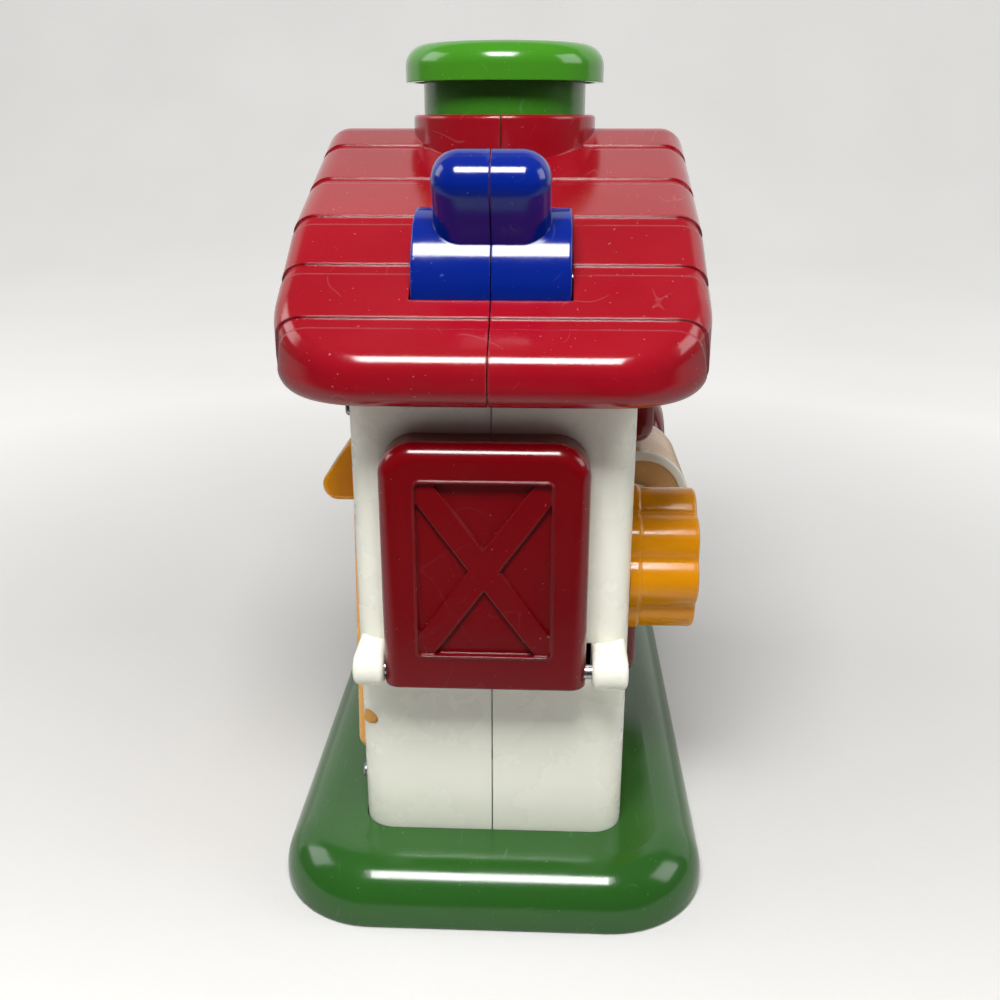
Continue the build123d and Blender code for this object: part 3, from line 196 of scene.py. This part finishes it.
class Surface(Nodes):
    """A new material: its principled shader, and patterns drawn by the place on the object."""

    def __init__(self, name):
        self.material = bpy.data.materials.new(name)
        self.material.use_nodes = True
        super().__init__(self.material.node_tree)
        self.tree.nodes.clear()
        output = self.add("ShaderNodeOutputMaterial")
        self.shader = self.add("ShaderNodeBsdfPrincipled")
        self.link(self.shader.outputs["BSDF"], output.inputs["Surface"])
        self.place = self.add("ShaderNodeTexCoord").outputs["Object"]

    def stretched(self, scale, turn=(0.0, 0.0, 0.0)):
        """The object's place, scaled along its axes and turned (degrees)."""
        node = self.add("ShaderNodeMapping", Vector=self.place)
        node.inputs["Scale"].default_value = scale
        node.inputs["Rotation"].default_value = [math.radians(angle) for angle in turn]
        return node.outputs["Vector"]

    def noise(self, size, detail=2.0, roughness=0.5, vector=None):
        """Noise whose features are about size metres across."""
        node = self.add("ShaderNodeTexNoise", Vector=vector or self.place, Scale=1 / size, Detail=detail,
                        Roughness=roughness)
        return node.outputs["Fac"]

    def scratches(self, spacing, turn):
        """Sparse hairline scratches that run one way: 1 on a scratch, 0 off it."""
        field = self.noise(spacing, 0.0, 0.5, self.stretched(HAIR_STRETCH, turn))
        off_line = self.math("ABSOLUTE", self.math("SUBTRACT", field, 0.5), 0.0)
        line = self.remap(off_line, 0.0, HAIR_WIDTH, 1.0, 0.0)
        broken = self.remap(self.noise(spacing * HAIR_BREAKS), *HAIR_BREAK_SHARES)
        return self.math("MULTIPLY", line, broken)

    def crevices(self, reach):
        """1 deep in the corners between pieces, 0 on open faces."""
        shade = self.add("ShaderNodeAmbientOcclusion", samples=CREVICE_SAMPLES, Distance=reach)
        return self.remap(shade.outputs["AO"], *CREVICE_OPEN, 1.0, 0.0)

    def worn_edges(self, radius):
        """1 on the outer edges of a piece, 0 on its flats."""
        bevel = self.add("ShaderNodeBevel", samples=EDGE_SAMPLES, Radius=radius)
        face = self.add("ShaderNodeNewGeometry")
        turn = self.vector_math("DOT_PRODUCT", bevel.outputs["Normal"], face.outputs["Normal"])
        return self.remap(turn, *WORN_NORMALS, 1.0, 0.0)

    def relief(self, height, strength, distance, edge_radius):
        """Round the piece's edges and raise its faces by the height."""
        bevel = self.add("ShaderNodeBevel", samples=EDGE_SAMPLES, Radius=edge_radius)
        bump = self.add("ShaderNodeBump", Strength=strength, Distance=distance, Height=height,
                        Normal=bevel.outputs["Normal"])
        self.link(bump.outputs["Normal"], self.shader.inputs["Normal"])


# ---------------------------------------------------------------- materials


def moulded_plastic(name, colour, deep, roughness=0.22, haze=0.0, dust=0.12, scuffs=0.5, peel=0.10,
                    edge_radius=0.0006, shade_in_corners=0.35, glow=0.0, glow_radius=(0.004, 0.002, 0.001)):
    """Injection-moulded plastic: two near tones, a slightly wavy gloss, dust, scratches and worn edges, and
    painted shade in its corners.

    colour and deep are the two tones; haze lays a thin grey bloom over them; glow is the share of
    light that goes into the plastic and comes out again.
    """
    nodes = Surface(name)
    # colour: broad clouds of the two tones, specks of dust, pale hairlines and worn edges, painted shade in
    # the corners
    pale = dusty(colour)
    clouds = nodes.remap(nodes.noise(CLOUD_SIZE, 2.0, 0.40), *CLOUD_SHARES)
    tone = nodes.mix(clouds, colour, deep)
    specks = nodes.remap(nodes.noise(SPECK_SIZE, 1.0), *SPECK_SHARES)
    tone = nodes.laid_over(tone, pale, specks, dust)
    hairs = nodes.math("MAXIMUM", *(nodes.scratches(*hair_set) for hair_set in HAIR_SETS))
    tone = nodes.laid_over(tone, pale, hairs, HAIR_PALES * scuffs)
    worn = nodes.worn_edges(edge_radius)
    patches = nodes.remap(nodes.noise(WORN_PATCH_SIZE, 3.0, 0.6), *WORN_PATCH_SHARES)
    worn = nodes.math("MULTIPLY", worn, patches)
    tone = nodes.laid_over(tone, pale, worn, WORN_PALES * scuffs)
    bloom = nodes.remap(nodes.noise(BLOOM_SIZE, 4.0, 0.6), *BLOOM_SHARES)
    tone = nodes.laid_over(tone, pale, bloom, haze)
    # painted shade: the colour darkened where corners and crevices are shut in, broken into patches by noise
    corners = nodes.crevices(CREVICE_REACH)
    painted_corner_shade = nodes.remap(nodes.noise(CORNER_SHADE_PATCH_SIZE, 3.0), *CORNER_SHADE_PATCH_SHARES, CORNER_SHADE_LEAST, 1.0)
    painted_corner_shade = nodes.math("MULTIPLY", corners, painted_corner_shade)
    tone = nodes.laid_over(tone, darker(colour, CORNER_SHADE_TONE), painted_corner_shade, shade_in_corners)
    nodes.link(tone, nodes.shader.inputs["Base Color"])
    # gloss: cloudy, duller where the plastic is scratched, worn or dusty
    gloss_ends = (roughness * share for share in GLOSS_RANGE)
    gloss = nodes.remap(nodes.noise(GLOSS_CLOUD_SIZE, 4.0, 0.6), *GLOSS_SHARES, *gloss_ends)
    gloss = nodes.plus(gloss, hairs, HAIR_DULLS * scuffs)
    gloss = nodes.plus(gloss, worn, WORN_DULLS * scuffs)
    gloss = nodes.plus(gloss, specks, SPECK_DULLS)
    nodes.link(gloss, nodes.shader.inputs["Roughness"])
    # surface: rounded edges, the faint wave of a moulded face, orange peel and scratches
    skin = nodes.plus(nodes.noise(WAVE_SIZE, 1.0), nodes.noise(PEEL_SIZE), PEEL_DEPTH)
    skin = nodes.math("SUBTRACT", skin, nodes.math("MULTIPLY", hairs, HAIR_DEPTH))
    nodes.relief(skin, peel, PLASTIC_BUMP, edge_radius)
    nodes.shader.inputs["IOR"].default_value = PLASTIC_IOR
    if glow:
        nodes.shader.inputs["Subsurface Weight"].default_value = glow
        nodes.shader.inputs["Subsurface Radius"].default_value = glow_radius
        nodes.shader.inputs["Subsurface Scale"].default_value = 1.0
    return nodes.material


def drawn_steel(name, colour, roughness, grain):
    """Bright steel, drawn or turned along the grain axis, with faint stains."""
    nodes = Surface(name)
    stretch = tuple(DRAWN_STRETCH if axis == grain else 1.0 for axis in "XYZ")
    drawn = nodes.noise(DRAWN_SIZE, 3.0, 0.6, nodes.stretched(stretch))
    stain = nodes.remap(nodes.noise(STAIN_SIZE, 4.0, 0.6), *STAIN_SHARES)
    tone = nodes.laid_over(colour, darker(colour, STAIN_TONE), stain, STAIN_DARKENS)
    nodes.link(tone, nodes.shader.inputs["Base Color"])
    rough_ends = (roughness * share for share in DRAWN_RANGE)
    rough = nodes.plus(nodes.remap(drawn, *DRAWN_SHARES, *rough_ends), stain, STAIN_DULLS)
    nodes.link(rough, nodes.shader.inputs["Roughness"])
    nodes.relief(drawn, STEEL_BUMP_STRENGTH, STEEL_BUMP, STEEL_EDGE)
    nodes.shader.inputs["Metallic"].default_value = 1.0
    return nodes.material


# each plastic: its two tones, and how its finish differs from the usual one
PLASTICS = {
    "base_green": ((41, 91, 31), (37, 84, 28), dict(roughness=0.15, dust=0.10)),
    "cap_green": ((64, 134, 28), (58, 125, 26), dict(roughness=0.15)),
    # neck_green: the cap's plastic in darker tones, painted shade of the neck beneath the cap
    "neck_green": ((58, 124, 30), (50, 112, 26), dict(roughness=0.20)),
    "roof_red": ((146, 6, 24), (134, 4, 20),
                 dict(roughness=0.15, haze=0.01, dust=0.16, edge_radius=0.0010, shade_in_corners=0.10)),
    "door_burgundy": ((112, 2, 10), (100, 1, 8),
                      dict(roughness=0.16, dust=0.10, scuffs=0.15, edge_radius=0.0008)),
    "wall_white": ((239, 239, 225), (237, 237, 223),
                   dict(roughness=0.26, dust=0.03, scuffs=0.1, glow=0.10, glow_radius=(0.004, 0.004, 0.003))),
    "lever_blue": ((4, 32, 128), (3, 26, 112), dict(roughness=0.13, dust=0.08)),
    "knob_orange": ((216, 142, 5), (204, 130, 4),
                    dict(roughness=0.18, glow=0.20, glow_radius=(0.006, 0.003, 0.0003))),
    "handle_orange": ((238, 164, 8), (226, 152, 6),
                      dict(roughness=0.18, glow=0.25, glow_radius=(0.006, 0.003, 0.0003))),
    "ramp_yellow": ((240, 176, 84), (234, 166, 74),
                    dict(roughness=0.26, glow=0.20, glow_radius=(0.005, 0.003, 0.001))),
    "drum_peach": ((220, 176, 122), (210, 164, 110),
                   dict(roughness=0.26, glow=0.15, glow_radius=(0.005, 0.003, 0.0015))),
    "roller_white": ((240, 238, 226), (232, 230, 216),
                     dict(roughness=0.24, glow=0.10, glow_radius=(0.004, 0.004, 0.003))),
    "inner_white": ((214, 212, 202), (204, 202, 192), dict(roughness=0.50, dust=0.05, glow=0.05)),
}
materials = {name: moulded_plastic(name, srgb(*tone), srgb(*deep), **finish)
             for name, (tone, deep, finish) in PLASTICS.items()}
materials["pin_steel"] = drawn_steel("pin_steel", (0.55, 0.55, 0.56, 1.0), 0.22, "X")
materials["screw_steel"] = drawn_steel("screw_steel", (0.38, 0.39, 0.42, 1.0), 0.32, "Z")

slot_of = {part["node"]: part["material_slot"] for part in frame["record"]["subparts"]}
for node_name, node in frame["nodes"].items():
    node.data.materials.clear()
    node.data.materials.append(materials[slot_of[node_name]])

# ---------------------------------------------------------------- smooth shading of the CAD nodes
SMOOTH_BELOW = math.radians(32)
for node in frame["nodes"].values():
    for face in node.data.polygons:
        face.use_smooth = True
    node.data.set_sharp_from_angle(angle=SMOOTH_BELOW)

# ---------------------------------------------------------------- floor, light and camera


def paper():
    """Pale paper, faintly uneven, that answers the camera and the barn's gloss by where it is hit: a painted
    dark reflection in front of the barn, a painted glowing one behind it.
    """
    nodes = Surface("paper")
    uneven = nodes.remap(nodes.noise(PAPER_CLOUD_SIZE, 3.0), *PAPER_CLOUD_SHARES)
    tone = nodes.mix(uneven, *(srgb(*paper_tone) for paper_tone in PAPER_TONES))
    rays = nodes.add("ShaderNodeLightPath")
    # painted reflection: for glossy rays the paper in front of the barn is coloured dark
    sides = nodes.add("ShaderNodeSeparateXYZ", Vector=nodes.place)
    dim_side = nodes.remap(sides.outputs["Y"], *PAPER_DIM, 1.0, 0.0)
    dimmed = nodes.math("MULTIPLY", dim_side, rays.outputs["Is Glossy Ray"])
    nodes.link(nodes.mix(dimmed, tone, srgb(*PAPER_DARK)), nodes.shader.inputs["Base Color"])
    nodes.shader.inputs["Roughness"].default_value = PAPER_ROUGHNESS
    # the camera sees it evenly pale, out to where the lamps no longer reach
    away = nodes.vector_math("LENGTH", nodes.place)
    far = nodes.remap(away, *PAPER_FADE, *PAPER_LIFT)
    nodes.link(tone, nodes.shader.inputs["Emission Color"])
    seen = nodes.math("MULTIPLY", rays.outputs["Is Camera Ray"], far)
    # painted reflection: for glossy rays the paper behind the barn glows
    behind = nodes.remap(sides.outputs["Y"], *PAPER_BEHIND, 0.0, PAPER_GLEAM)
    mirrored = nodes.math("MULTIPLY", rays.outputs["Is Glossy Ray"], behind)
    nodes.link(nodes.math("ADD", seen, mirrored), nodes.shader.inputs["Emission Strength"])
    bump = nodes.add("ShaderNodeBump", Strength=PAPER_GRAIN_STRENGTH, Distance=PAPER_GRAIN_DEPTH,
                     Height=nodes.noise(PAPER_GRAIN_SIZE, 3.0))
    nodes.link(bump.outputs["Normal"], nodes.shader.inputs["Normal"])
    return nodes.material


def sweep():
    """The floor, which curves up into a backdrop far behind the barn."""
    profile = [(-FLOOR_HALF, 0.0), (BEND_START, 0.0)]
    for step in range(1, BEND_STEPS + 1):
        angle = math.pi / 2 * step / BEND_STEPS
        profile.append((BEND_START + BEND_RADIUS * math.sin(angle), BEND_RADIUS * (1 - math.cos(angle))))
    profile.append((BEND_START + BEND_RADIUS, BACKDROP_TOP))
    points = [(side * FLOOR_HALF, y, z) for y, z in profile for side in (-1, 1)]
    faces = [(2 * i, 2 * i + 1, 2 * i + 3, 2 * i + 2) for i in range(len(profile) - 1)]
    mesh = bpy.data.meshes.new("floor")
    mesh.from_pydata(points, [], faces)
    for face in mesh.polygons:
        face.use_smooth = True
    mesh.materials.append(paper())
    floor = bpy.data.objects.new("floor", mesh)
    scene.collection.objects.link(floor)


def softbox(name, place, aim, width, length, power):
    light = bpy.data.lights.new(name, "AREA")
    light.shape = "RECTANGLE"
    light.size = width
    light.size_y = length
    light.energy = power
    lamp = bpy.data.objects.new(name, light)
    lamp.location = place
    lamp.rotation_euler = (Vector(aim) - Vector(place)).to_track_quat("-Z", "Y").to_euler()
    scene.collection.objects.link(lamp)


def studio_world():
    """Surroundings that light the barn from behind it, stay dim overhead and behind the camera, and
    look evenly pale to the camera itself."""
    world = bpy.data.worlds.new("studio")
    world.use_nodes = True
    nodes = Nodes(world.node_tree)
    place = nodes.add("ShaderNodeTexCoord")
    sides = nodes.add("ShaderNodeSeparateXYZ", Vector=place.outputs["Generated"])
    strengths = [nodes.remap(sides.outputs["Y"], *rise, *levels) for rise, levels in WORLD_BANDS]
    total = nodes.math("ADD", *strengths)
    rays = nodes.add("ShaderNodeLightPath")
    strength = nodes.add("ShaderNodeMix")
    for index, value in ((0, rays.outputs["Is Camera Ray"]), (2, total), (3, WORLD_SEEN)):
        nodes.feed(strength.inputs[index], value)
    background = world.node_tree.nodes["Background"]
    background.inputs["Color"].default_value = WORLD_COLOUR
    nodes.link(strength.outputs[0], background.inputs["Strength"])
    return world


sweep()
for lamp_values in LAMPS:
    softbox(*lamp_values)
scene.world = studio_world()

lens = bpy.data.cameras.new("camera")
lens.sensor_width = CAMERA_SENSOR
lens.lens = CAMERA_LENS
lens.clip_start = CAMERA_CLIP
camera = bpy.data.objects.new("camera", lens)
camera.location = CAMERA_AT
camera.rotation_euler = CAMERA_LOOKS.to_track_quat("-Z", "Y").to_euler()
scene.collection.objects.link(camera)
scene.camera = camera
scene.view_settings.view_transform = "Standard"
